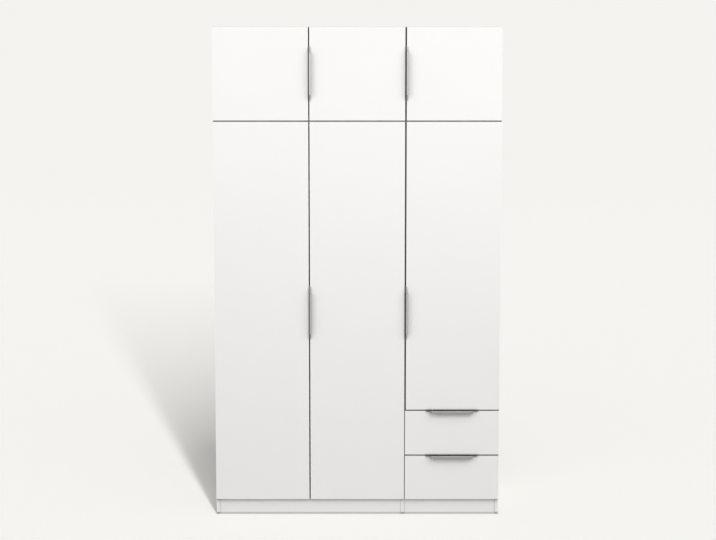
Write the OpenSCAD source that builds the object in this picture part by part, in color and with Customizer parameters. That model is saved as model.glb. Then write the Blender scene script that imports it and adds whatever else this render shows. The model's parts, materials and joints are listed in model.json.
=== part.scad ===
// Tall white wardrobe: a two-door unit and a narrow unit with a door over two drawers,
// stand side by side on recessed plinths, with a low top box with doors over each.
// X runs along the front, Y to the back, Z up; the origin is under the middle of the whole.

/* [Carcasses] */
// Width of the two-door unit
left_unit_w = 1000; // [800:1:1200]
// Width of the unit with the drawers
right_unit_w = 500; // [400:1:600]
// Height of the lower units
lower_h = 2085; // [2000:1:2200]
// Height of the top boxes
top_box_h = 484; // [400:1:600]
// Depth of the carcasses behind the doors
carcass_d = 560; // [540:1:620]
// Thickness of the carcass boards
board_t = 18; // [16:0.5:20]
// Height of the plinth boards
plinth_h = 80; // [60:1:100]
// How far a plinth board stands back from the side boards' front edges
plinth_recess = 2; // [2:1:60]
// Thickness of a plinth board
plinth_t = 16; // [12:1:19]
// Thickness of the back panels
back_t = 3; // [2.5:0.5:6]
// Depth of the groove that a back panel sits in
groove_d = 8; // [5:0.5:9]
// Distance from the rear edges to a back panel
back_inset = 15; // [8:1:25]

/* [Doors and drawer fronts] */
// Thickness of the doors and drawer fronts
door_t = 18; // [16:0.5:19]
// Space between the back of a door and the carcass edges
door_gap = 2; // [1.8:0.1:3]
// Width of the horizontal gaps between fronts
front_gap = 6; // [3:0.1:8]
// Gap between the two doors of the wide unit, with a handle's strip in it
meeting_gap = 6.5; // [4:0.1:8]
// How far the fronts start above the bottom boards' undersides
bottom_reveal = 5; // [1:0.5:8]
// How far the top doors end below the roofs
top_reveal = 1.5; // [0.5:0.5:5]
// How far the outer doors' hinge edges stay inside the side faces of their units
hinge_reveal = 1; // [0.8:0.1:2]
// How far the middle door's hinge edge stays inside the side face of its unit
middle_reveal = 2.5; // [0.8:0.1:3]
// How far the narrow door's handle edge stays inside the side face of its unit
pull_inset = 6; // [4:0.5:8]
// How far the drawer fronts stay inside the side faces of their unit
drawer_reveal = 1.5; // [1:0.1:4]
// Height of a drawer front
drawer_front_h = 235.5; // [215:0.5:280]

/* [Handles] */
// Length of a handle at the edge that it is fixed to
pull_l = 290; // [230:1:380]
// Length of its lip
pull_lip_l = 218; // [100:1:230]
// Width of the lip over the front
pull_lip_w = 13; // [8:0.5:20]
// How far a handle stands out from the front
pull_reach = 28; // [20:0.5:40]
// Depth of the strip that is screwed to the edge
pull_seat = 15; // [10:0.5:16]
// Thickness of the handle's metal
pull_t = 2; // [1:0.1:2.4]
// Outer radius of the bend
pull_bend_r = 3; // [2.6:0.1:5]

/* [Hinges] */
// Number of hinges on a full-height door
tall_hinges = 4; // [3:1:5]
// Number of hinges on the door over the drawers
mid_hinges = 3; // [2:1:3]
// Number of hinges on a top door
top_hinges = 2; // [2:1:3]
// Distance from a tall door's end to its first hinge
tall_hinge_end = 100; // [70:1:120]
// Distance from a top door's end to its first hinge
top_hinge_end = 80; // [70:1:110]
// Distance from a door's edge to the middle of a hinge cup
cup_inset = 22.5; // [21.5:0.5:24]
// Radius of a hinge cup
cup_r = 17.4; // [16:0.1:18]
// Depth of a hinge cup
cup_d = 12; // [11:0.5:13]
// Wall of a hinge cup
cup_wall = 1.2; // [0.8:0.1:1.5]
// Thickness of a hinge cup's flange
cup_flange_t = 1.2; // [0.8:0.1:1.4]
// Length of the flange across its two ears
cup_ear_h = 50; // [44:1:60]
// Width of the ears
cup_ear_w = 16; // [12:0.5:16]
// Distance from the side board's front edge to a mounting plate
plate_setback = 24; // [18:1:40]
// Length of a mounting plate into the unit
plate_d = 26; // [20:1:40]
// Height of a mounting plate
plate_h = 48; // [40:1:60]
// Thickness of a mounting plate
plate_t = 3; // [2:0.5:4]
// Width of a hinge arm
arm_w = 14; // [10:0.5:18]
// How far a hinge arm stands out from the side board
arm_rise = 18; // [16:0.5:20]
// Length of a hinge arm behind the side board's front edge
arm_l = 78; // [60:1:90]
// How far a hinge arm's nose reaches in front of the side board's front edge
arm_nose = 5; // [3:0.5:7]
// Chamfer on the nose
arm_chamfer = 2; // [1:0.5:3]

/* [Wardrobe interior] */
// Height of the space over the hat shelf
hat_space_h = 301; // [250:1:450]
// Distance from the hat shelf down to the middle of the hanging rail
rail_drop = 60; // [45:1:90]
// Radius of the hanging rail
rail_r = 12.5; // [10:0.5:16]
// Wall of the hanging rail's tube
rail_wall = 1; // [0.8:0.1:2]
// Thickness of a rail socket's plate
socket_t = 3; // [2:0.5:5]
// Length of the ring of a rail socket
socket_l = 12; // [8:1:20]
// Width of the ring's wall
socket_wall = 2.5; // [2:0.5:4]
// Width of the plate outside the ring
socket_rim = 5; // [3:0.5:10]
// Number of loose shelves in the narrow unit
loose_shelves = 4; // [1:1:4]
// How far the shelves stand back from the side boards' front edges
shelf_setback = 20; // [5:1:40]
// Space beside and behind a loose shelf
shelf_play = 0.8; // [0.5:0.1:0.9]
// Radius of a shelf pin
pin_r = 2.5; // [2:0.5:3]
// Depth that a shelf pin sits in its side board
pin_seat = 9; // [7:0.5:10]
// Length of a shelf pin under its shelf
pin_reach = 8; // [6:0.5:12]
// Distance from a shelf's front and rear edges to its pins
pin_end = 60; // [40:1:90]
// Distance between the holes of a row, where a shelf can be moved up or down
hole_pitch = 32; // [20:1:40]
// Number of holes over and under the one in use
spare_holes = 2; // [0:1:3]

/* [Drawers] */
// Thickness of the drawer sides and back
box_t = 15; // [12:0.5:18]
// Height of the drawer sides
box_h = 170; // [140:1:180]
// Space between the drawer boxes and the back panel
box_rear_space = 44; // [20:1:120]
// Height of the drawer sides above the lower edge of their front
box_lift = 28; // [24:1:40]
// Thickness of the drawer bottoms
box_floor_t = 5; // [3:0.5:8]
// Height of the groove for the bottom above the sides' lower edges
box_groove_z = 10; // [8:1:15]
// Depth of that groove
box_groove_d = 6; // [4:0.5:8]
// Space for a runner on each side
runner_w = 13; // [12.5:0.1:14]
// Height of a runner
runner_h = 45; // [40:1:50]
// Thickness of the runner's steel
runner_t = 1.2; // [1:0.1:1.5]
// Height of the runner's middle above the sides' lower edges
runner_z = 45; // [40:1:60]
// Running clearance between two runner members
runner_play = 0.3; // [0.2:0.05:0.6]

/* [Fixings] */
// Radius of the screws' shanks that join the two units
bolt_r = 4; // [3:0.5:5]
// Radius of their heads
bolt_head_r = 8; // [7:0.5:9]
// Thickness of their heads
bolt_head_t = 2; // [1:0.5:2.5]
// Distance from a lower unit's ends to the first screw
bolt_end = 250; // [240:1:280]
// Distance from the front and rear edges to the screws
bolt_edge = 90; // [85:1:120]
// Clearance round a shank, a pin or a cup in its hole
hole_play = 0.1; // [0.05:0.01:0.1]
// Length of a wall bracket's legs
bracket_leg = 40; // [30:1:60]
// Width of a wall bracket
bracket_w = 30; // [20:1:40]
// Thickness of a wall bracket
bracket_t = 2.5; // [2:0.5:4]
// Radius of the screw holes in a wall bracket
bracket_hole_r = 3; // [2:0.5:4]
// Distance from the sides of a top box to the middle of a wall bracket
bracket_inset = 100; // [80:1:180]

/* [Hidden] */

$fn = 48;
cut = 1;
white = "whitesmoke";
steel = "silver";

// Places along the front, the depth and the height
total_w = left_unit_w + right_unit_w;
total_d = pull_reach + door_t + door_gap + carcass_d;
total_h = lower_h + top_box_h;
left_x = -total_w / 2;
right_x = left_x + left_unit_w;
front_y = pull_reach - total_d / 2;
door_back_y = front_y + door_t;
carcass_y = door_back_y + door_gap;
plinth_y = carcass_y + plinth_recess;
rear_y = carcass_y + carcass_d;
back_y = rear_y - back_inset - back_t;
inner_d = back_y - carcass_y;

// Door edges in X, as [left, right]
meeting_x = left_x + left_unit_w / 2 - pull_t / 2;
door_1_x = [left_x + hinge_reveal, meeting_x - meeting_gap / 2];
door_2_x = [meeting_x + meeting_gap / 2, right_x - middle_reveal];
door_3_x = [right_x + pull_inset, right_x + right_unit_w - hinge_reveal];
drawer_x = [right_x + drawer_reveal, right_x + right_unit_w - drawer_reveal];

// Front edges in Z, as [lower, upper]; drawer 1 is the upper drawer
front_pitch = drawer_front_h + front_gap;
fronts_z = plinth_h + bottom_reveal;
tall_z = [fronts_z, lower_h - front_gap / 2];
drawer_z = [fronts_z + front_pitch, fronts_z];
mid_z = [fronts_z + 2 * front_pitch, lower_h - front_gap / 2];
top_z = [lower_h + front_gap / 2, total_h - top_reveal];
divider_z = mid_z[0] - front_gap / 2 - board_t / 2;
tall_pull_z = (tall_z[0] + tall_z[1]) / 2;
top_pull_z = (top_z[0] + top_z[1]) / 2;

function spread(z, end, n) = [for (i = [0:n - 1]) z[0] + end + i * (z[1] - z[0] - 2 * end) / (n - 1)];
tall_hinge_z = spread(tall_z, tall_hinge_end, tall_hinges);
mid_hinge_z = spread(mid_z, tall_hinge_end, mid_hinges);
top_hinge_z = spread(top_z, top_hinge_end, top_hinges);

// Undersides of the loose shelves, evenly spaced over the divider
shelf_space = lower_h - board_t - divider_z - board_t;
shelf_pitch = (shelf_space - loose_shelves * board_t) / (loose_shelves + 1) + board_t;
shelf_z = [for (i = [1:loose_shelves]) divider_z + i * shelf_pitch];
shelf_d = inner_d - shelf_setback - shelf_play;
pin_y = [carcass_y + shelf_setback + pin_end, back_y - shelf_play - pin_end];
hat_shelf_z = lower_h - 2 * board_t - hat_space_h;
rail_y = carcass_y + carcass_d / 2;
rail_z = hat_shelf_z - rail_drop;
screw_y = [carcass_y + bolt_edge, rear_y - bolt_edge];
lower_screw_z = [bolt_end, lower_h / 2, lower_h - bolt_end];
top_screw_z = lower_h + top_box_h / 2;

// Drawer box inside its runners, which are as long as its sides
box_l = back_y - box_rear_space - door_back_y;
runner_l = box_l;
box_x = [right_x + board_t + runner_w, right_x + right_unit_w - board_t - runner_w];
box_w = box_x[1] - box_x[0];
box_z = [drawer_z[0] + box_lift, drawer_z[1] + box_lift];
slide_h = runner_h - 2 * (runner_t + runner_play);
rail_h = slide_h - 2 * (runner_t + runner_play);
slide_x = runner_t + runner_play;

// A block between two corners
module block(low, high) {
    translate(low) cube(high - low);
}

// A round hole or rod along X, from x0 to x1
module rod_x(x0, x1, y, z, r) {
    translate([x0, y, z]) rotate([0, 90, 0]) cylinder(r = r, h = x1 - x0);
}

// A side board with the groove for its back panel; inward is 1 where its inner face looks to +X
module side_board(x, z0, z1, inward) {
    groove_x = inward > 0 ? x + board_t - groove_d : x - cut;
    color(white) difference() {
        block([x, carcass_y, z0], [x + board_t, rear_y, z1]);
        block([groove_x, back_y, z0 - cut], [groove_x + groove_d + cut, back_y + back_t, z1 + cut]);
        children();
    }
}

// A board between the two sides of a unit
module level_board(x, w, z) {
    color(white) block([x + board_t, carcass_y, z], [x + w - board_t, back_y, z + board_t]);
}

// A thin back panel in the sides' grooves
module back_panel(x, w, z0, z1) {
    color("white") difference() {
        block([x + board_t - groove_d, back_y, z0], [x + w - board_t + groove_d, back_y + back_t, z1]);
        children();
    }
}

// A plinth board under a unit's bottom board, between x0 and x1
module plinth_board(x0, x1) {
    color(white) block([x0, plinth_y, 0], [x1, plinth_y + plinth_t, plinth_h]);
}

// Rows of shelf pin holes on one inner face; inward is as for the board
module pin_holes(face_x, inward, undersides) {
    x0 = inward > 0 ? face_x - pin_seat : face_x - cut;
    for (z = undersides, y = pin_y, step = [-spare_holes:spare_holes])
        rod_x(x0, x0 + pin_seat + cut, y, z - pin_r + step * hole_pitch, pin_r + hole_play);
}

module screw_holes(x, levels) {
    for (z = levels, y = screw_y)
        rod_x(x - cut, x + board_t + cut, y, z, bolt_r + hole_play);
}

module left_unit_left_side() {
    side_board(left_x, 0, lower_h, 1)
        pin_holes(left_x + board_t, 1, [hat_shelf_z]);
}

module left_unit_right_side() {
    x = right_x - board_t;
    side_board(x, 0, lower_h, -1) {
        pin_holes(x, -1, [hat_shelf_z]);
        screw_holes(x, lower_screw_z);
    }
}

// The narrow unit's plinth covers the foot of this board, which has a notch for it
module right_unit_left_side() {
    side_board(right_x, 0, lower_h, 1) {
        pin_holes(right_x + board_t, 1, shelf_z);
        screw_holes(right_x, lower_screw_z);
        block([right_x - cut, carcass_y - cut, -cut],
              [right_x + board_t + cut, plinth_y + plinth_t, plinth_h]);
    }
}

module right_unit_right_side() {
    x = right_x + right_unit_w - board_t;
    side_board(x, 0, lower_h, -1)
        pin_holes(x, -1, shelf_z);
}

module loose_shelf(x, w, z) {
    y = carcass_y + shelf_setback;
    side = board_t + shelf_play;
    color(white) block([x + side, y, z], [x + w - side, y + shelf_d, z + board_t]);
}

module loose_shelves() {
    for (z = shelf_z) loose_shelf(right_x, right_unit_w, z);
}

module shelf_pins() {
    color(steel) {
        unit_pins(left_x, left_unit_w, [hat_shelf_z]);
        unit_pins(right_x, right_unit_w, shelf_z);
    }
}

module unit_pins(x, w, undersides) {
    for (z = undersides, y = pin_y) {
        rod_x(x + board_t - pin_seat, x + board_t + pin_reach, y, z - pin_r, pin_r);
        rod_x(x + w - board_t - pin_reach, x + w - board_t + pin_seat, y, z - pin_r, pin_r);
    }
}

module hanging_rail() {
    x0 = left_x + board_t + socket_t;
    x1 = right_x - board_t - socket_t;
    color(steel) difference() {
        rod_x(x0, x1, rail_y, rail_z, rail_r);
        rod_x(x0 - cut, x1 + cut, rail_y, rail_z, rail_r - rail_wall);
    }
}

// A wall plate with a ring round the end of the rail; inward is 1 on the left side board
module rail_socket(face_x, inward) {
    ring_r = rail_r + hole_play;
    translate([face_x, rail_y, rail_z]) rotate([0, inward * 90, 0]) difference() {
        union() {
            cylinder(r = ring_r + socket_wall + socket_rim, h = socket_t);
            cylinder(r = ring_r + socket_wall, h = socket_t + socket_l);
        }
        translate([0, 0, socket_t]) cylinder(r = ring_r, h = socket_l + cut);
    }
}

module rail_sockets() {
    color(steel) {
        rail_socket(left_x + board_t, 1);
        rail_socket(right_x - board_t, -1);
    }
}

module left_top_box_sides() {
    side_board(left_x, lower_h, total_h, 1);
    side_board(right_x - board_t, lower_h, total_h, -1)
        screw_holes(right_x - board_t, [top_screw_z]);
}

module right_top_box_sides() {
    side_board(right_x, lower_h, total_h, 1)
        screw_holes(right_x, [top_screw_z]);
    side_board(right_x + right_unit_w - board_t, lower_h, total_h, -1);
}

// Centres of the wall brackets of a top box
function bracket_x(x, w) = [x + bracket_inset, x + w - bracket_inset];
bracket_hole_z = total_h - board_t - bracket_leg / 2;

module bracket_holes(x, w) {
    for (bx = bracket_x(x, w))
        translate([bx, back_y + back_t + cut, bracket_hole_z]) rotate([90, 0, 0])
            cylinder(r = bracket_hole_r, h = back_t + bracket_t + 2 * cut);
}

module left_top_box_back() {
    back_panel(left_x, left_unit_w, lower_h, total_h) bracket_holes(left_x, left_unit_w);
}

module right_top_box_back() {
    back_panel(right_x, right_unit_w, lower_h, total_h) bracket_holes(right_x, right_unit_w);
}

// Steel angles under the roofs, for screws through the back panel into the wall
module wall_brackets() {
    z = total_h - board_t;
    color(steel) for (unit = [[left_x, left_unit_w], [right_x, right_unit_w]])
        difference() {
            for (bx = bracket_x(unit[0], unit[1])) union() {
                block([bx - bracket_w / 2, back_y - bracket_t, z - bracket_leg],
                      [bx + bracket_w / 2, back_y, z]);
                block([bx - bracket_w / 2, back_y - bracket_leg, z - bracket_t],
                      [bx + bracket_w / 2, back_y, z]);
            }
            bracket_holes(unit[0], unit[1]);
        }
}

// Through screws with a flat head on each end, which hold the two units together
module joining_screws() {
    color(steel) for (z = concat(lower_screw_z, [top_screw_z]), y = screw_y) {
        rod_x(right_x - board_t - bolt_head_t, right_x - board_t, y, z, bolt_head_r);
        rod_x(right_x - board_t, right_x + board_t, y, z, bolt_r);
        rod_x(right_x + board_t, right_x + board_t + bolt_head_t, y, z, bolt_head_r);
    }
}

// A door with its blind holes for the hinge cups; inward is 1 where it hangs by its left edge
module door(x, z, inward, hinge_z) {
    cup_x = (inward > 0 ? x[0] : x[1]) + inward * cup_inset;
    color(white) difference() {
        block([x[0], front_y, z[0]], [x[1], door_back_y, z[1]]);
        for (hz = hinge_z)
            translate([cup_x, door_back_y + cut, hz]) rotate([90, 0, 0])
                cylinder(r = cup_r + hole_play, h = cup_d + hole_play + cut);
    }
}

// The cups of one door: a dish in the door, with a flange on its back
module hinge_cups(edge_x, inward, hinge_z) {
    mouth_r = cup_r - cup_wall;
    ear_x = inward > 0 ? 0 : -cup_ear_w;
    color(steel) for (hz = hinge_z)
        translate([edge_x + inward * cup_inset, door_back_y, hz]) rotate([90, 0, 0]) difference() {
            union() {
                translate([0, 0, -cup_flange_t]) cylinder(r = cup_r + cup_wall, h = cup_flange_t);
                translate([ear_x, -cup_ear_h / 2, -cup_flange_t])
                    cube([cup_ear_w, cup_ear_h, cup_flange_t]);
                translate([0, 0, -cup_flange_t / 2]) cylinder(r = cup_r, h = cup_d + cup_flange_t / 2);
            }
            translate([0, 0, -cup_flange_t - cut])
                cylinder(r = mouth_r, h = cup_d - cup_wall + cup_flange_t + cut);
        }
}

// Mounting plate and arm on a side board; the arm's nose reaches into the cup of the shut door
module hinge_arm(face_x, inward, hz) {
    nose_w = arm_rise / 2;
    translate([face_x, carcass_y, hz]) mirror([inward > 0 ? 0 : 1, 0, 0]) {
        translate([0, plate_setback, -plate_h / 2]) cube([plate_t, plate_d, plate_h]);
        translate([0, 0, -arm_w / 2]) linear_extrude(arm_w)
            polygon([[0, plate_setback], [0, arm_l - nose_w], [nose_w, arm_l],
                     [arm_rise, arm_l - nose_w], [arm_rise, arm_chamfer - arm_nose],
                     [arm_rise - arm_chamfer, -arm_nose],
                     [arm_rise - nose_w, -arm_nose], [arm_rise - nose_w, plate_setback - nose_w]]);
    }
}

module hinge_arms() {
    color(steel) {
        for (hz = tall_hinge_z) {
            hinge_arm(left_x + board_t, 1, hz);
            hinge_arm(right_x - board_t, -1, hz);
        }
        for (hz = top_hinge_z) {
            hinge_arm(left_x + board_t, 1, hz);
            hinge_arm(right_x - board_t, -1, hz);
        }
        for (hz = concat(mid_hinge_z, top_hinge_z))
            hinge_arm(right_x + right_unit_w - board_t, -1, hz);
    }
}

// Section of a handle: a strip on the edge, a bend and a lip; X runs along the lip
module pull_section() {
    r = pull_bend_r;
    square_y = r - pull_reach;
    translate([0, square_y]) square([pull_t, pull_seat - square_y]);
    translate([r, -pull_reach]) square([pull_lip_w - r, pull_t]);
    intersection() {
        translate([r, square_y]) difference() {
            circle(r = r);
            circle(r = r - pull_t);
        }
        translate([0, -pull_reach]) square([r, r]);
    }
}

// A handle whose strip lies on the plane X = 0 and narrows from the front to the lip
module pull() {
    bend_y = pull_bend_r - pull_reach;
    color("darkgray") intersection() {
        translate([0, 0, -pull_l / 2]) linear_extrude(pull_l) pull_section();
        translate([-cut, 0, 0]) rotate([0, 90, 0]) linear_extrude(pull_lip_w + 2 * cut)
            polygon([[-pull_l / 2, pull_seat + cut], [-pull_l / 2, 0],
                     [-pull_lip_l / 2, bend_y], [-pull_lip_l / 2, -pull_reach - cut],
                     [pull_lip_l / 2, -pull_reach - cut], [pull_lip_l / 2, bend_y],
                     [pull_l / 2, 0], [pull_l / 2, pull_seat + cut]]);
    }
}

// Upright, on the left edge of a door
module door_pull(edge_x, z) {
    translate([edge_x - pull_t, front_y, z]) pull();
}

// Level, on the upper edge of a drawer front, with its lip down
module drawer_pull(i) {
    translate([(drawer_x[0] + drawer_x[1]) / 2, front_y, drawer_z[i] + drawer_front_h + pull_t])
        rotate([0, 90, 0]) pull();
}

module drawer_front(i) {
    z = box_z[i] + box_groove_z;
    color(white) difference() {
        block([drawer_x[0], front_y, drawer_z[i]],
              [drawer_x[1], door_back_y, drawer_z[i] + drawer_front_h]);
        block([box_x[0] + box_t - box_groove_d, door_back_y - box_groove_d, z],
              [box_x[1] - box_t + box_groove_d, door_back_y + cut, z + box_floor_t]);
    }
}

module drawer_sides(i) {
    z = box_z[i];
    color("white") difference() {
        for (x = [box_x[0], box_x[1] - box_t])
            block([x, door_back_y, z], [x + box_t, door_back_y + box_l, z + box_h]);
        block([box_x[0] + box_t - box_groove_d, door_back_y - cut, z + box_groove_z],
              [box_x[1] - box_t + box_groove_d, door_back_y + box_l + cut,
               z + box_groove_z + box_floor_t]);
    }
}

module drawer_back(i) {
    y = door_back_y + box_l;
    color("white") block([box_x[0] + box_t, y - box_t, box_z[i] + box_groove_z + box_floor_t],
                         [box_x[1] - box_t, y, box_z[i] + box_h]);
}

module drawer_bottom(i) {
    z = box_z[i] + box_groove_z;
    color("white") block([box_x[0] + box_t - box_groove_d, door_back_y - box_groove_d, z],
                         [box_x[1] - box_t + box_groove_d, door_back_y + box_l, z + box_floor_t]);
}

// A channel of height h between two depths, open towards +X; its middle is at z
module channel(x0, x1, h, z) {
    y = carcass_y;
    difference() {
        block([x0, y, z - h / 2], [x1, y + runner_l, z + h / 2]);
        block([x0 + runner_t, y - cut, z - h / 2 + runner_t],
              [x1 + cut, y + runner_l + cut, z + h / 2 - runner_t]);
    }
}

// The members of both runners of a drawer, which mirror each other about its middle
module runner_pair() {
    middle = (box_x[0] + box_x[1]) / 2;
    for (side = [0, 1])
        translate([middle, 0, 0]) mirror([side, 0, 0])
            translate([-box_w / 2 - runner_w, 0, 0]) children();
}

module cabinet_runners() {
    color(steel) for (i = [0, 1])
        runner_pair() channel(0, runner_w - slide_x - runner_t, runner_h, box_z[i] + runner_z);
}

module runner_slides(i) {
    color(steel) runner_pair()
        channel(slide_x, runner_w - runner_t - runner_play, slide_h, box_z[i] + runner_z);
}

module runner_rails(i) {
    color(steel) runner_pair() translate([runner_w, 0, 0]) mirror([1, 0, 0])
        channel(0, runner_w - slide_x - runner_t - runner_play, rail_h, box_z[i] + runner_z);
}

left_unit_left_side();
left_unit_right_side();
level_board(left_x, left_unit_w, plinth_h);  // left_unit_bottom
level_board(left_x, left_unit_w, lower_h - board_t);  // left_unit_top
back_panel(left_x, left_unit_w, plinth_h, lower_h);  // left_unit_back
plinth_board(left_x + board_t, right_x - board_t);  // left_unit_plinth
loose_shelf(left_x, left_unit_w, hat_shelf_z);  // hat_shelf
hanging_rail();
rail_sockets();
right_unit_left_side();
right_unit_right_side();
level_board(right_x, right_unit_w, plinth_h);  // right_unit_bottom
level_board(right_x, right_unit_w, lower_h - board_t);  // right_unit_top
back_panel(right_x, right_unit_w, plinth_h, lower_h);  // right_unit_back
plinth_board(right_x, total_w / 2 - board_t);  // right_unit_plinth
level_board(right_x, right_unit_w, divider_z);  // drawer_divider
loose_shelves();
shelf_pins();
left_top_box_sides();
level_board(left_x, left_unit_w, lower_h);  // left_top_box_bottom
level_board(left_x, left_unit_w, total_h - board_t);  // left_top_box_roof
left_top_box_back();
right_top_box_sides();
level_board(right_x, right_unit_w, lower_h);  // right_top_box_bottom
level_board(right_x, right_unit_w, total_h - board_t);  // right_top_box_roof
right_top_box_back();
joining_screws();
wall_brackets();
hinge_arms();
door(door_1_x, tall_z, 1, tall_hinge_z);  // door_1
door(door_2_x, tall_z, -1, tall_hinge_z);  // door_2
door(door_3_x, mid_z, -1, mid_hinge_z);  // door_3
door(door_1_x, top_z, 1, top_hinge_z);  // top_door_1
door(door_2_x, top_z, -1, top_hinge_z);  // top_door_2
door(door_3_x, top_z, -1, top_hinge_z);  // top_door_3
hinge_cups(door_1_x[0], 1, tall_hinge_z);  // door_1_hinge_cups
hinge_cups(door_2_x[1], -1, tall_hinge_z);  // door_2_hinge_cups
hinge_cups(door_3_x[1], -1, mid_hinge_z);  // door_3_hinge_cups
hinge_cups(door_1_x[0], 1, top_hinge_z);  // top_door_1_hinge_cups
hinge_cups(door_2_x[1], -1, top_hinge_z);  // top_door_2_hinge_cups
hinge_cups(door_3_x[1], -1, top_hinge_z);  // top_door_3_hinge_cups
door_pull(door_2_x[0], tall_pull_z);  // door_2_handle
door_pull(door_3_x[0], tall_pull_z);  // door_3_handle
door_pull(door_2_x[0], top_pull_z);  // top_door_2_handle
door_pull(door_3_x[0], top_pull_z);  // top_door_3_handle
drawer_front(0);  // drawer_1_front
drawer_sides(0);  // drawer_1_sides
drawer_back(0);  // drawer_1_back
drawer_bottom(0);  // drawer_1_bottom
drawer_pull(0);  // drawer_1_handle
drawer_front(1);  // drawer_2_front
drawer_sides(1);  // drawer_2_sides
drawer_back(1);  // drawer_2_back
drawer_bottom(1);  // drawer_2_bottom
drawer_pull(1);  // drawer_2_handle
cabinet_runners();
runner_slides(0);  // drawer_1_runner_slides
runner_slides(1);  // drawer_2_runner_slides
runner_rails(0);  // drawer_1_runner_rails
runner_rails(1);  // drawer_2_runner_rails
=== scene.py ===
"""White wardrobe with top boxes and drawers: finishes, small fittings, studio light and camera."""
import json
import math

import bpy
import bmesh
from mathutils import Matrix, Vector


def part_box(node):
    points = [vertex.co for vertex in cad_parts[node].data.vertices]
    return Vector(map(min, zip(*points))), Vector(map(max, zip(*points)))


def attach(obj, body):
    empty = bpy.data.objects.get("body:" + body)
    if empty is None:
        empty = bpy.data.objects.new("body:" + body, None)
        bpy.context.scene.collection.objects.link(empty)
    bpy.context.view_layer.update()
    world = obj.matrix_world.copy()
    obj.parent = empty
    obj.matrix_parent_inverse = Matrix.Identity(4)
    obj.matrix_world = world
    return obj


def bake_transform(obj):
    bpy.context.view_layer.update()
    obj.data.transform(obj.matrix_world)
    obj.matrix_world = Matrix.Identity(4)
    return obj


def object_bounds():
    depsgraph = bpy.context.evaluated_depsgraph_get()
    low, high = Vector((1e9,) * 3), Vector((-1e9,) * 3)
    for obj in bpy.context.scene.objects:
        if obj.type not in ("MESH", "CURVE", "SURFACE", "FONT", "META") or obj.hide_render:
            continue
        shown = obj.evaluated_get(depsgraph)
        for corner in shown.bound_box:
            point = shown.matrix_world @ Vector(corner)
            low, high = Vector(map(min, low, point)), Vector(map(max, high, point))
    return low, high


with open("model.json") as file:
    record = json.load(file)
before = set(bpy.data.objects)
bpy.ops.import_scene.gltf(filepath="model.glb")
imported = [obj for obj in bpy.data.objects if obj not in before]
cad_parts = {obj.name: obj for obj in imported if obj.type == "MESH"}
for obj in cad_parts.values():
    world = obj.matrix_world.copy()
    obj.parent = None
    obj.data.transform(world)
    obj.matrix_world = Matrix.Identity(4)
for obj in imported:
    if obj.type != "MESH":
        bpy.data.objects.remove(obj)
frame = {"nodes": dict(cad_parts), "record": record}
cad_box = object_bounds()
nodes = frame["nodes"]
scene = bpy.context.scene
SLOT_OF = {part["node"]: part["material_slot"] for part in frame["record"]["subparts"]}

# The planes of the doors' faces and the boards' front edges, and the whole height, in metres
FRONT_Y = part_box("door_1")[0].y
CARCASS_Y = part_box("left_unit_left_side")[0].y
HEIGHT = cad_box[1][2] - cad_box[0][2]


# Camera: the photograph's viewpoint

IMAGE_W = 716
FOCAL_PX = 1533.4
SENSOR_MM = 36.0
CLIP_END = 200.0
# Where its axis meets the plane of the doors, how far away that is, and how steeply it looks down
AIM_X, AIM_Z = 0.0035, 1.310
AXIS_LENGTH = 8.020
PITCH = math.radians(6.18)


def add_camera():
    data = bpy.data.cameras.new("camera")
    data.sensor_fit = "HORIZONTAL"
    data.sensor_width = SENSOR_MM
    data.lens = FOCAL_PX / IMAGE_W * SENSOR_MM
    data.clip_end = CLIP_END
    camera = bpy.data.objects.new("camera", data)
    scene.collection.objects.link(camera)
    camera.location = (AIM_X, FRONT_Y - AXIS_LENGTH * math.cos(PITCH),
                       AIM_Z + AXIS_LENGTH * math.sin(PITCH))
    camera.rotation_euler = (math.pi / 2 - PITCH, 0, 0)
    scene.camera = camera


add_camera()


# Finishes

class Nodes:
    """The node tree of a material or world, emptied, with short calls to add and link nodes."""

    def __init__(self, owner, output="ShaderNodeOutputMaterial"):
        owner.use_nodes = True
        self.tree = owner.node_tree
        self.tree.nodes.clear()
        self.out = self.add(output)

    def add(self, kind, **values):
        """A node, from values of its own settings or of its sockets."""
        node = self.tree.nodes.new(kind)
        for key, value in values.items():
            if hasattr(node, key):
                setattr(node, key, value)
            else:
                node.inputs[key].default_value = value
        return node

    def link(self, source, target):
        self.tree.links.new(source, target)

    def ranged(self, source, from_min, from_max, to_min, to_max):
        """A linked value, carried over from one range to another."""
        node = self.add("ShaderNodeMapRange")
        for socket, value in (("From Min", from_min), ("From Max", from_max),
                              ("To Min", to_min), ("To Max", to_max)):
            node.inputs[socket].default_value = value
        self.link(source, node.inputs["Value"])
        return node.outputs["Result"]

    def multiplier(self, share):
        """A colour mix that multiplies its input A by a linked share."""
        node = self.add("ShaderNodeMix", data_type="RGBA", blend_type="MULTIPLY")
        node.inputs["Factor"].default_value = 1.0
        self.link(share, node.inputs["B"])
        return node

    def mixed(self, share, first, second):
        """Two shaders, mixed by a linked share of the second."""
        node = self.add("ShaderNodeMixShader")
        for socket, source in (("Fac", share), (1, first), (2, second)):
            self.link(source, node.inputs[socket])
        return node.outputs[0]


# The grain: two noises, of which the fine one is stretched per finish
FINE_DETAIL = 3.0
BROAD_SCALE, BROAD_DETAIL = 3.0, 2.0
NOISES_LOW, NOISES_HIGH = 0.5, 1.5
FINE_LOW, FINE_HIGH = 0.3, 0.7
LEAST_ROUGHNESS = 0.02
BUMP_DEPTH = 0.0002
# Painted shade in corners and gaps: how far it reaches, and the power that deepens it
BOARD_REACH, HANDLE_REACH = 0.014, 0.025
SOFT_CREVICE, DEEP_CREVICE = 1.3, 3.2
CREVICE_RAYS = 6
# How far a face's normal runs along Y where it counts as a side, and as a front or back
SIDE_NORMAL, FRONT_NORMAL = 0.3, 0.9

FINISHES = {}


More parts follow.
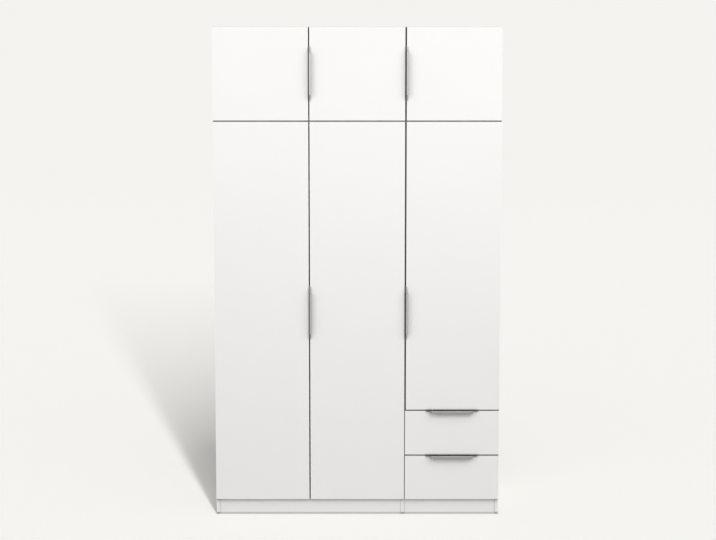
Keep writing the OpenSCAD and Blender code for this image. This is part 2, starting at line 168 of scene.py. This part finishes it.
def surface(name, color, roughness, metallic=0.0, grain=(900.0, 900.0, 900.0), mottle=0.012,
            rough_spread=0.06, bump=0.02, crevice=None):
    """A finish with a fine grain, which varies colour and roughness a little and lifts the surface.

    crevice: how far the painted shade in corners and gaps reaches, and its power on faces that
    look to the front or back and on all others.
    """
    material = bpy.data.materials.new(name)
    n = Nodes(material)
    shader = n.add("ShaderNodeBsdfPrincipled", Metallic=metallic)
    coords = n.add("ShaderNodeTexCoord")
    stretch = n.add("ShaderNodeMapping", Scale=grain)
    n.link(coords.outputs["Object"], stretch.inputs["Vector"])
    fine = n.add("ShaderNodeTexNoise", Scale=1.0, Detail=FINE_DETAIL)
    n.link(stretch.outputs["Vector"], fine.inputs["Vector"])
    broad = n.add("ShaderNodeTexNoise", Scale=BROAD_SCALE, Detail=BROAD_DETAIL)
    n.link(coords.outputs["Object"], broad.inputs["Vector"])
    both = n.add("ShaderNodeMath", operation="ADD")
    n.link(fine.outputs["Fac"], both.inputs[0])
    n.link(broad.outputs["Fac"], both.inputs[1])
    shade = n.ranged(both.outputs[0], NOISES_LOW, NOISES_HIGH, 1.0 - mottle, 1.0 + mottle)
    tint = n.multiplier(shade)
    tint.inputs["A"].default_value = (*color, 1.0)
    if crevice:
        shaded = n.multiplier(painted_crevice_shade(n, coords, *crevice))
        n.link(tint.outputs["Result"], shaded.inputs["A"])
        tint = shaded
    n.link(tint.outputs["Result"], shader.inputs["Base Color"])
    least = max(LEAST_ROUGHNESS, roughness - rough_spread)
    rough = n.ranged(fine.outputs["Fac"], FINE_LOW, FINE_HIGH, least, roughness + rough_spread)
    n.link(rough, shader.inputs["Roughness"])
    lift = n.add("ShaderNodeBump", Strength=bump, Distance=BUMP_DEPTH)
    n.link(fine.outputs["Fac"], lift.inputs["Height"])
    n.link(lift.outputs["Normal"], shader.inputs["Normal"])
    n.link(shader.outputs["BSDF"], n.out.inputs["Surface"])
    FINISHES[name] = material


def painted_crevice_shade(n, coords, reach, front_power, side_power):
    """Painted shade, which darkens the colour that it multiplies.

    The open share of the surroundings within reach, to a power that depends on the facing.
    """
    open_share = n.add("ShaderNodeAmbientOcclusion", samples=CREVICE_RAYS, Distance=reach)
    axes = n.add("ShaderNodeSeparateXYZ")
    n.link(coords.outputs["Normal"], axes.inputs["Vector"])
    frontal = n.add("ShaderNodeMath", operation="ABSOLUTE")
    n.link(axes.outputs["Y"], frontal.inputs[0])
    power = n.ranged(frontal.outputs[0], SIDE_NORMAL, FRONT_NORMAL, side_power, front_power)
    deeper = n.add("ShaderNodeMath", operation="POWER")
    n.link(open_share.outputs["AO"], deeper.inputs[0])
    n.link(power, deeper.inputs[1])
    return deeper.outputs[0]


WHITE = (0.865, 0.857, 0.844)
HANDLE_GREY = (0.415, 0.413, 0.409)
# The level handles are the same metal as the others, in a darker grey that is painted shade
LEVEL_HANDLE_SHADED_GREY = (0.305, 0.304, 0.301)

# Three copies of the white board, which differ only in how deep their painted shade in gaps is
for board, powers in (("white_board", (DEEP_CREVICE, SOFT_CREVICE)),
                      ("front_board", (SOFT_CREVICE, DEEP_CREVICE)),
                      ("plain_board", (SOFT_CREVICE, SOFT_CREVICE))):
    surface(board, WHITE, 0.42, bump=0.12, crevice=(BOARD_REACH, *powers))
surface("drawer_board", (0.80, 0.79, 0.77), 0.5, bump=0.1)
surface("back_board", (0.76, 0.75, 0.73), 0.55, bump=0.1)
# The handles carry painted shade too, where they meet the fronts and in the gaps
for handle, grey, brushed in (
        ("handle_metal", HANDLE_GREY, (1500.0, 1500.0, 60.0)),
        ("level_handle_shaded_metal", LEVEL_HANDLE_SHADED_GREY, (60.0, 1500.0, 1500.0))):
    surface(handle, grey, 0.42, metallic=1.0, grain=brushed, mottle=0.03, bump=0.1,
            crevice=(HANDLE_REACH, SOFT_CREVICE, SOFT_CREVICE))
surface("hinge_steel", (0.66, 0.65, 0.63), 0.27, metallic=1.0, grain=(300.0, 300.0, 300.0),
        mottle=0.02, rough_spread=0.03, bump=0.01)
surface("runner_steel", (0.55, 0.56, 0.57), 0.32, metallic=1.0, grain=(600.0, 20.0, 600.0),
        mottle=0.04)
surface("rail_chrome", (0.72, 0.72, 0.73), 0.1, metallic=1.0, grain=(8.0, 900.0, 900.0),
        mottle=0.01, rough_spread=0.03)
surface("zinc_steel", (0.52, 0.53, 0.54), 0.4, metallic=1.0, mottle=0.05)
surface("white_plastic", (0.80, 0.795, 0.78), 0.33, mottle=0.01, bump=0.05)
surface("clear_rubber", (0.62, 0.62, 0.60), 0.25, mottle=0.01, bump=0.05)

# Widths of the soft edges per slot, in metres
BEVELS = {"white_board": 0.0010, "drawer_board": 0.0008, "handle_metal": 0.0004,
          "hinge_steel": 0.0003, "runner_steel": 0.0002, "zinc_steel": 0.0002}
BEVEL_SEGMENTS = 2
BEVEL_ANGLE = math.radians(40)


def finish_of(name, slot):
    """The finish of a slot on one node.

    Level handles have level grain and a darker grey, which is painted shade. On fronts only the
    edges get deep painted shade in gaps, on the boards behind them the narrow sides that look out
    through the gaps, and on shelves and plinths neither.
    """
    if slot == "white_board" and ("door" in name or name.endswith("_front")):
        return "front_board"
    if slot == "white_board" and ("plinth" in name or "shel" in name):
        return "plain_board"
    if slot == "handle_metal" and name.startswith("drawer"):
        return "level_handle_shaded_metal"
    return slot


def dress_nodes():
    for name, obj in nodes.items():
        slot = SLOT_OF[name]
        obj.data.materials.clear()
        obj.data.materials.append(FINISHES[finish_of(name, slot)])
        if slot in BEVELS:
            bevel = obj.modifiers.new("soft_edges", "BEVEL")
            bevel.width = BEVELS[slot]
            bevel.segments = BEVEL_SEGMENTS
            bevel.limit_method = "ANGLE"
            bevel.angle_limit = BEVEL_ANGLE
            bevel.harden_normals = False


dress_nodes()


# Small fittings: screws, hinge links and covers, caps and bumpers

X, Y, Z = Vector((1, 0, 0)), Vector((0, 1, 0)), Vector((0, 0, 1))
MM = 0.001
# Per door: 1 where it hangs on its left edge and -1 on its right, and the board with its hinge arms
DOORS = {
    "door_1": (1, "left_unit_left_side"), "door_2": (-1, "left_unit_right_side"),
    "door_3": (-1, "right_unit_right_side"), "top_door_1": (1, "left_unit_left_side"),
    "top_door_2": (-1, "left_unit_right_side"), "top_door_3": (-1, "right_unit_right_side"),
}
DRAWERS = ("drawer_1", "drawer_2")

# Screw heads: a cross recess and a dome, as shares of the head's radius and height
CROSS_REACH, CROSS_HALF, CROSS_FLOOR = 0.62, 0.16, 0.2
DOME = ((1.0, 0.0), (0.93, 0.55), (0.75, 1.0))
SMOOTH_ANGLE = math.radians(35)


def facing(point, outward, along=Z):
    """A place on a surface: local Z looks outward and local Y runs along."""
    side = along.cross(outward).normalized()
    turn = Matrix((side, outward.cross(side), outward)).transposed().to_4x4()
    return Matrix.Translation(point) @ turn


class Fitting:
    """Pieces of one kind on one body, gathered in one mesh."""

    def __init__(self, name):
        self.name = name
        self.bm = bmesh.new()

    def ring(self, place, points, z):
        return [self.bm.verts.new(place @ Vector((x, y, z))) for x, y in points]

    def wall(self, low, high):
        n = len(low)
        for i in range(n):
            self.bm.faces.new((low[i], low[(i + 1) % n], high[(i + 1) % n], high[i]))

    def stack(self, place, outlines, cap=True):
        """Rings of one count, from (outline, height) pairs, joined from the first to the last."""
        rings = [self.ring(place, outline, z) for outline, z in outlines]
        for low, high in zip(rings, rings[1:]):
            self.wall(low, high)
        if cap:
            self.bm.faces.new(rings[-1])
        self.bm.faces.new(rings[0][::-1])
        return rings

    def disc(self, place, profile, count=24):
        """A turned piece, from (radius, height) pairs that start at its seat."""
        self.stack(place, [(circle(r, count), z) for r, z in profile])

    def pad(self, place, width, length, height, corner, edge):
        """A flat piece with rounded corners and a chamfered rim."""
        self.stack(place, [(rounded(width, length, corner), 0.0),
                           (rounded(width, length, corner), height - edge),
                           (rounded(width - 2 * edge, length - 2 * edge, corner - edge), height)])

    def screw(self, place, radius, height):
        """A low domed head with a cross recess."""
        arm, half = radius * CROSS_REACH, radius * CROSS_HALF
        cross = [(arm, -half), (arm, half), (half, half), (half, arm), (-half, arm),
                 (-half, half), (-arm, half), (-arm, -half), (-half, -half), (-half, -arm),
                 (half, -arm), (half, -half)]
        # The rim follows the cross: a point at each of its corners and one between every two
        angles = []
        for (x0, y0), (x1, y1) in zip(cross, cross[1:] + cross[:1]):
            a, b = math.atan2(y0, x0), math.atan2(y1, x1)
            angles += [a, a + ((b - a) % math.tau) / 2]
        dome = [([(radius * r * math.cos(a), radius * r * math.sin(a)) for a in angles], height * h)
                for r, h in DOME]
        top = self.stack(place, dome, cap=False)[-1]
        rim = self.ring(place, cross, height)
        floor = self.ring(place, cross, height * CROSS_FLOOR)
        n = len(cross)
        for i in range(n):
            j = (i + 1) % n
            self.bm.faces.new((rim[i], top[2 * i], top[2 * i + 1], top[2 * j], rim[j]))
            self.bm.faces.new((floor[i], rim[i], rim[j], floor[j]))
        self.bm.faces.new(floor)

    def strap(self, path, width, thickness):
        """A bent strip: path is in the XY plane at a height, with its width along Z."""
        rows = []
        for i, point in enumerate(path):
            before, after = path[max(i - 1, 0)], path[min(i + 1, len(path) - 1)]
            normal = (after - before).cross(Z).normalized() * thickness / 2
            rise = Z * width / 2
            corners = (normal - rise, normal + rise, -normal + rise, -normal - rise)
            rows.append([self.bm.verts.new(point + corner) for corner in corners])
        for low, high in zip(rows, rows[1:]):
            self.wall(low, high)
        self.bm.faces.new(rows[-1])
        self.bm.faces.new(rows[0][::-1])

    def make(self, finish, body=None):
        """The piece itself, which rides on a body if one is given and otherwise stands alone."""
        bmesh.ops.recalc_face_normals(self.bm, faces=self.bm.faces)
        mesh = bpy.data.meshes.new(self.name)
        self.bm.to_mesh(mesh)
        self.bm.free()
        mesh.materials.append(FINISHES[finish])
        mesh.polygons.foreach_set("use_smooth", [True] * len(mesh.polygons))
        mesh.set_sharp_from_angle(angle=SMOOTH_ANGLE)
        piece = bpy.data.objects.new(self.name, mesh)
        scene.collection.objects.link(piece)
        if body:
            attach(piece, body)
        return piece


def circle(radius, count):
    return [(radius * math.cos(math.tau * i / count), radius * math.sin(math.tau * i / count))
            for i in range(count)]


def rounded(width, length, corner, steps=4):
    """Outline of a rectangle with rounded corners."""
    points = []
    for quarter, (sx, sy) in enumerate(((1, 1), (-1, 1), (-1, -1), (1, -1))):
        for i in range(steps + 1):
            a = math.pi / 2 * (quarter + i / steps)
            points.append((sx * (width / 2 - corner) + corner * math.cos(a),
                           sy * (length / 2 - corner) + corner * math.sin(a)))
    return points


def middle(node):
    low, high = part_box(node)
    return (low + high) / 2


def middles(node, axis, gap=0.05):
    """Middle places along an axis of a node's solids that stand apart there."""
    places = sorted(v.co[axis] for v in nodes[node].data.vertices)
    groups = [[places[0], places[0]]]
    for place in places:
        if place - groups[-1][1] > gap:
            groups.append([place, place])
        groups[-1][1] = place
    return [(low + high) / 2 for low, high in groups]


# Hinges. Screws are (radius, height) of their heads.
PLATE_T = 3 * MM
PLATE_MIDDLE_Y = CARCASS_Y + 37 * MM
PLATE_SCREW, PLATE_SCREW_RISE = (3.4 * MM, 1.4 * MM), 18 * MM
CUP_INSET = 22.5 * MM
FLANGE_T = 1.2 * MM
CUP_SCREW, CUP_SCREW_RISE, CUP_SCREW_SHIFT = (3.2 * MM, 1.3 * MM), 20 * MM, 8 * MM
# The arm's flat face above the side board, with a cover and a screw
ARM_RISE = 18 * MM
ARM_SCREW, ARM_SCREW_Y = (3.2 * MM, 0.9 * MM), CARCASS_Y + 8 * MM
COVER_W, COVER_L, COVER_T, COVER_CORNER, COVER_EDGE = 11 * MM, 44 * MM, 0.9 * MM, 3 * MM, 0.3 * MM
COVER_Y = CARCASS_Y + 44 * MM
# Two links per hinge: places from the side board's face at the arm's nose and in the cup, and width
LINKS = ((10.5 * MM, 5.0 * MM, 11 * MM), (16.0 * MM, -5.0 * MM, 8 * MM))
LINK_T = 1.4 * MM
LINK_STEPS = 14
# Where a link starts behind the door's back and how deep it reaches into the door
LINK_START, LINK_DEPTH = 2 * MM, 9.5 * MM


def add_hinge_details():
    covers = Fitting("hinge_arm_covers")
    plate_screws = Fitting("hinge_plate_screws")
    for door, (inward, side) in DOORS.items():
        low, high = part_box(door)
        edge_x = low.x if inward > 0 else high.x
        face_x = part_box(side)[1 if inward > 0 else 0].x
        back_y = high.y
        out = X * inward
        cup_screw_x = edge_x + inward * (CUP_INSET + CUP_SCREW_SHIFT)
        arm_x = face_x + inward * ARM_RISE
        cup_screws = Fitting(door + "_cup_screws")
        links = Fitting(door + "_hinge_links")
        for z in middles(door + "_hinge_cups", 2):
            for way in (-1, 1):
                at = Vector((cup_screw_x, back_y + FLANGE_T, z + way * CUP_SCREW_RISE))
                cup_screws.screw(facing(at, Y), *CUP_SCREW)
                at = Vector((face_x + inward * PLATE_T, PLATE_MIDDLE_Y, z + way * PLATE_SCREW_RISE))
                plate_screws.screw(facing(at, out), *PLATE_SCREW)
            covers.pad(facing(Vector((arm_x, COVER_Y, z)), out, Y),
                       COVER_W, COVER_L, COVER_T, COVER_CORNER, COVER_EDGE)
            plate_screws.screw(facing(Vector((arm_x, ARM_SCREW_Y, z)), out), *ARM_SCREW)
            for at_nose, in_cup, width in LINKS:
                path = link_path(face_x + inward * at_nose, face_x + inward * in_cup, back_y, z)
                links.strap(path, width, LINK_T)
        cup_screws.make("hinge_steel", door)
        piece = links.make("hinge_steel")
        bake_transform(piece)
    covers.make("hinge_steel", "cabinet")
    plate_screws.make("hinge_steel", "cabinet")


def link_path(nose_x, cup_x, back_y, z):
    """A bend from inside the arm's nose into the cup, where it ends on the cup's floor side."""
    start = Vector((nose_x, back_y + LINK_START, z))
    bend = Vector((nose_x, back_y - LINK_DEPTH, z))
    end = Vector((cup_x, back_y - LINK_DEPTH, z))
    return [(1 - t) ** 2 * start + 2 * t * (1 - t) * bend + t * t * end
            for t in (i / LINK_STEPS for i in range(LINK_STEPS + 1))]


# Bumpers and cam caps, as turned profiles, and their distances from the ends of what they sit on
BUMPER = [(4.0 * MM, 0.0), (4.0 * MM, 0.5 * MM), (3.2 * MM, 1.2 * MM), (1.6 * MM, 1.5 * MM)]
BUMPER_FROM_EDGE = 14 * MM
BUMPER_FROM_END, DRAWER_BUMPER_FROM_END = 40 * MM, 30 * MM
# Doors of the third column close on the post beside it, right of its middle
BUMPER_ON_POST = 3 * MM
CAM_CAP = [(8.0 * MM, 0.0), (8.0 * MM, 0.5 * MM), (7.3 * MM, 1.0 * MM), (2.2 * MM, 1.0 * MM),
           (1.6 * MM, 0.6 * MM)]
CAP_FROM_END, CAP_FROM_FRONT, CAP_FROM_REAR = 25 * MM, 50 * MM, 70 * MM
DRAWER_SIDE_T = 15 * MM
DRAWER_CAP_FROM_FRONT, DRAWER_CAP_FROM_FOOT, DRAWER_CAP_FROM_TOP = 25 * MM, 45 * MM, 30 * MM


def add_bumpers():
    """Soft dots on the backs of the fronts, where they close against the carcass."""
    for door, (inward, _) in DOORS.items():
        low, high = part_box(door)
        if door.endswith("3"):
            x = middle("right_unit_left_side").x + BUMPER_ON_POST
            heights = (low.z + BUMPER_FROM_END, high.z - BUMPER_FROM_END)
        else:
            x = (high.x if inward > 0 else low.x) - inward * BUMPER_FROM_EDGE
            boards = (("left_top_box_bottom", "left_top_box_roof") if door.startswith("top")
                      else ("left_unit_bottom", "left_unit_top"))
            heights = [middle(board).z for board in boards]
        dots = Fitting(door + "_bumpers")
        for z in heights:
            dots.disc(facing(Vector((x, high.y, z)), Y), BUMPER)
        dots.make("clear_rubber", door)
    for drawer in DRAWERS:
        low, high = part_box(drawer + "_front")
        dots = Fitting(drawer + "_bumpers")
        for side in ("right_unit_left_side", "right_unit_right_side"):
            for z in (low.z + DRAWER_BUMPER_FROM_END, high.z - DRAWER_BUMPER_FROM_END):
                dots.disc(facing(Vector((middle(side).x, high.y, z)), Y), BUMPER)
        dots.make("clear_rubber", drawer)


def add_cam_caps():
    """Covers of the joints under the level boards and inside the drawers."""
    caps = Fitting("cam_caps")
    for board in ("left_unit_top", "right_unit_top", "hat_shelf", "drawer_divider",
                  "left_top_box_roof", "right_top_box_roof"):
        low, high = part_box(board)
        for x in (low.x + CAP_FROM_END, high.x - CAP_FROM_END):
            for y in (low.y + CAP_FROM_FRONT, high.y - CAP_FROM_REAR):
                caps.disc(facing(Vector((x, y, low.z)), -Z, Y), CAM_CAP)
    caps.make("white_plastic", "cabinet")
    for drawer in DRAWERS:
        low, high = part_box(drawer + "_sides")
        y = low.y + DRAWER_CAP_FROM_FRONT
        caps = Fitting(drawer + "_cam_caps")
        for x, out in ((low.x + DRAWER_SIDE_T, X), (high.x - DRAWER_SIDE_T, -X)):
            for z in (low.z + DRAWER_CAP_FROM_FOOT, high.z - DRAWER_CAP_FROM_TOP):
                caps.disc(facing(Vector((x, y, z)), out), CAM_CAP)
        caps.make("white_plastic", drawer)


# Other screws, again with (radius, height) of their heads
HANDLE_SCREW = (3.6 * MM, 0.8 * MM)
HANDLE_SCREW_PLACES = (-105 * MM, 0.0, 105 * MM)
HANDLE_SCREW_Y = FRONT_Y + 7.5 * MM
SOCKET_SCREW, SOCKET_SCREW_FROM_RIM = (2.3 * MM, 0.9 * MM), 2.6 * MM
BRACKET_T = 2.5 * MM
WALL_SCREW, ROOF_SCREW, ROOF_SCREW_SHARE = (5.2 * MM, 2.2 * MM), (3.8 * MM, 1.6 * MM), 0.7
JOINING_HEAD = (6.4 * MM, 0.9 * MM)
BOX_SCREW = (4.0 * MM, 0.9 * MM)
BOX_SCREW_FROM_REAR, BOX_SCREW_FROM_FOOT, BOX_SCREW_FROM_TOP = 8 * MM, 16 * MM, 22 * MM


def add_handle_screws():
    """Flat screws along the handles' strips, in the gaps beside the fronts."""
    for piece in ("door_2", "door_3", "top_door_2", "top_door_3", *DRAWERS):
        low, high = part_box(piece + "_handle")
        centre = (low + high) / 2
        screws = Fitting(piece + "_handle_screws")
        for shift in HANDLE_SCREW_PLACES:
            if piece in DRAWERS:
                place = facing(Vector((centre.x + shift, HANDLE_SCREW_Y, high.z)), Z, Y)
            else:
                place = facing(Vector((low.x, HANDLE_SCREW_Y, centre.z + shift)), -X)
            screws.screw(place, *HANDLE_SCREW)
        screws.make("hinge_steel", piece)


def add_socket_screws():
    """Two on each of the rail's sockets."""
    screws = Fitting("rail_socket_screws")
    low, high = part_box("rail_sockets")
    centre = (low + high) / 2
    reach = (high.z - low.z) / 2 - SOCKET_SCREW_FROM_RIM
    for x, out in ((low.x + PLATE_T, X), (high.x - PLATE_T, -X)):
        for dz in (-reach, reach):
            screws.screw(facing(Vector((x, centre.y, centre.z + dz)), out), *SOCKET_SCREW)
    screws.make("hinge_steel", "cabinet")


def add_bracket_screws():
    """One through each leg of the wall brackets, to the rear and up into the roof."""
    screws = Fitting("wall_bracket_screws")
    low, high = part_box("wall_brackets")
    leg = high.z - low.z
    for x in middles("wall_brackets", 0):
        to_wall = Vector((x, high.y - BRACKET_T, high.z - leg / 2))
        to_roof = Vector((x, high.y - leg * ROOF_SCREW_SHARE, high.z - BRACKET_T))
        screws.screw(facing(to_wall, -Y), *WALL_SCREW)
        screws.screw(facing(to_roof, -Z, Y), *ROOF_SCREW)
    screws.make("zinc_steel", "cabinet")


def add_joining_heads():
    """A head on each end of the screws that join the two units."""
    screws = Fitting("joining_screw_heads")
    low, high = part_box("joining_screws")
    for z in middles("joining_screws", 2):
        for y in middles("joining_screws", 1):
            screws.screw(facing(Vector((low.x, y, z)), -X), *JOINING_HEAD)
            screws.screw(facing(Vector((high.x, y, z)), X), *JOINING_HEAD)
    screws.make("zinc_steel", "cabinet")


def add_box_screws():
    """Screws through the drawers' sides into their backs."""
    for drawer in DRAWERS:
        low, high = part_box(drawer + "_sides")
        y = high.y - BOX_SCREW_FROM_REAR
        screws = Fitting(drawer + "_box_screws")
        for x, out in ((low.x, -X), (high.x, X)):
            for z in (low.z + BOX_SCREW_FROM_FOOT, high.z - BOX_SCREW_FROM_TOP):
                screws.screw(facing(Vector((x, y, z)), out), *BOX_SCREW)
        screws.make("zinc_steel", drawer)


add_hinge_details()
add_bumpers()
add_cam_caps()
add_handle_screws()
add_socket_screws()
add_bracket_screws()
add_joining_heads()
add_box_screws()


# Floor, backdrop and light

BACKGROUND = (0.904, 0.896, 0.863)
SKY = 0.50
# How far out the floor goes, and from where to where it fades into the background, in metres
FLOOR_REACH = 400.0
FADE_START, FADE_END = 14.0, 40.0
# The colour that the floor lends to what stands on it
FLOOR_BOUNCE = (0.52, 0.515, 0.502)
# How far its shading leans to the front, and the light that it gets where nothing shades it
FLOOR_TILT = math.radians(60)
FLOOR_FACING = Vector((0.0, -math.sin(FLOOR_TILT), math.cos(FLOOR_TILT)))
OPEN_FLOOR_LIGHT = 0.573
# Strips of suns: azimuth in degrees, share of the light on the floor, count, softness in degrees
# and the part's shortest shadow in metres
KEY_SHARE = 0.36
KEYS = {"key": (13.5, KEY_SHARE * 0.8, 14, 2.5, 1.0),
        "inner_key": (8.0, KEY_SHARE * 0.2, 6, 9.0, 2.2)}
LONGEST_SHADOW = 11.0
# Soft boxes: place in X, distance in front of the doors and power in watts
FRONT_BOXES = {"front_box_left": (-2.2, 3.4, 13.7), "front_box_right": (3.0, 2.7, 16.8)}
# Their size, spread and height, and the height that they aim at
BOX_W, BOX_H = 2.8, 1.4
BOX_SPREAD = math.radians(100)
BOX_Z, BOX_AIM_Z = 3.4, 2.2


def seen_directly(n):
    """1 for rays from the camera or by way of metal and glass, 0 for light that falls on things."""
    path = n.add("ShaderNodeLightPath")
    last = path.outputs["Is Camera Ray"]
    for kind in ("Is Glossy Ray", "Is Transmission Ray"):
        either = n.add("ShaderNodeMath", operation="MAXIMUM")
        n.link(last, either.inputs[0])
        n.link(path.outputs[kind], either.inputs[1])
        last = either.outputs[0]
    return last


def add_floor():
    """A pale floor, so coloured that where nothing shades it, it looks like the background.

    Its shading leans to the front, so the bright doors cast no glare on it. Far out it fades into
    the background, so no horizon shows.
    """
    mesh = bpy.data.meshes.new("floor")
    r = FLOOR_REACH
    mesh.from_pydata([(-r, -r, 0), (r, -r, 0), (r, r, 0), (-r, r, 0)], [], [(0, 1, 2, 3)])
    floor = bpy.data.objects.new("floor", mesh)
    scene.collection.objects.link(floor)
    material = bpy.data.materials.new("floor")
    n = Nodes(material)
    lit = n.add("ShaderNodeBsdfDiffuse", Color=(*FLOOR_BOUNCE, 1.0))
    near = n.add("ShaderNodeBsdfDiffuse", Color=(*(c / OPEN_FLOOR_LIGHT for c in BACKGROUND), 1.0))
    lean = n.add("ShaderNodeNormal")
    lean.outputs["Normal"].default_value = FLOOR_FACING
    n.link(lean.outputs["Normal"], near.inputs["Normal"])
    place = n.add("ShaderNodeNewGeometry")
    distance = n.add("ShaderNodeVectorMath", operation="LENGTH")
    n.link(place.outputs["Position"], distance.inputs[0])
    far_share = n.ranged(distance.outputs["Value"], FADE_START, FADE_END, 0.0, 1.0)
    far = n.add("ShaderNodeEmission", Color=(*BACKGROUND, 1.0))
    seen = n.mixed(far_share, near.outputs[0], far.outputs[0])
    n.link(n.mixed(seen_directly(n), lit.outputs[0], seen), n.out.inputs["Surface"])
    mesh.materials.append(material)
    return floor


def add_world():
    """An even sky that lights the part, and the background that the camera sees."""
    world = bpy.data.worlds.new("world")
    scene.world = world
    n = Nodes(world, "ShaderNodeOutputWorld")
    lit = n.add("ShaderNodeBackground", Color=(1.0, 1.0, 1.0, 1.0), Strength=SKY)
    seen = n.add("ShaderNodeBackground", Color=(*BACKGROUND, 1.0))
    n.link(n.mixed(seen_directly(n), lit.outputs[0], seen.outputs[0]), n.out.inputs["Surface"])


def aim(lamp, towards):
    """Turn a lamp so that it shines from the direction it is seen in."""
    lamp.rotation_euler = towards.to_track_quat("Z", "Y").to_euler()


def add_key(name, azimuth, share, count, softness, shortest):
    """An upright strip of suns, by which the part's shadows end ever further out."""
    a = math.radians(azimuth)
    for i in range(count):
        length = shortest * (LONGEST_SHADOW / shortest) ** ((i + 0.5) / count)
        e = math.atan2(HEIGHT, length)
        towards = Vector((math.sin(a) * math.cos(e), -math.cos(a) * math.cos(e), math.sin(e)))
        data = bpy.data.lights.new(f"{name}_{i}", "SUN")
        data.energy = math.pi * share / count / towards.dot(FLOOR_FACING)
        data.angle = math.radians(softness)
        sun = bpy.data.objects.new(data.name, data)
        scene.collection.objects.link(sun)
        aim(sun, towards)


def add_front_boxes(floor):
    """Two soft boxes, high in front to the left and right, which leave the floor as it is."""
    lit = bpy.data.collections.new("lit_by_front_boxes")
    lit.objects.link(floor)
    lit.collection_objects[0].light_linking.link_state = "EXCLUDE"
    for name, (x, ahead, power) in FRONT_BOXES.items():
        data = bpy.data.lights.new(name, "AREA")
        data.shape = "RECTANGLE"
        data.size, data.size_y = BOX_W, BOX_H
        data.spread = BOX_SPREAD
        data.energy = power
        lamp = bpy.data.objects.new(name, data)
        scene.collection.objects.link(lamp)
        lamp.location = (x, FRONT_Y - ahead, BOX_Z)
        aim(lamp, lamp.location - Vector((0.0, FRONT_Y, BOX_AIM_Z)))
        lamp.light_linking.receiver_collection = lit


floor = add_floor()
add_world()
for key, values in KEYS.items():
    add_key(key, *values)
add_front_boxes(floor)
scene.view_settings.view_transform = "Standard"
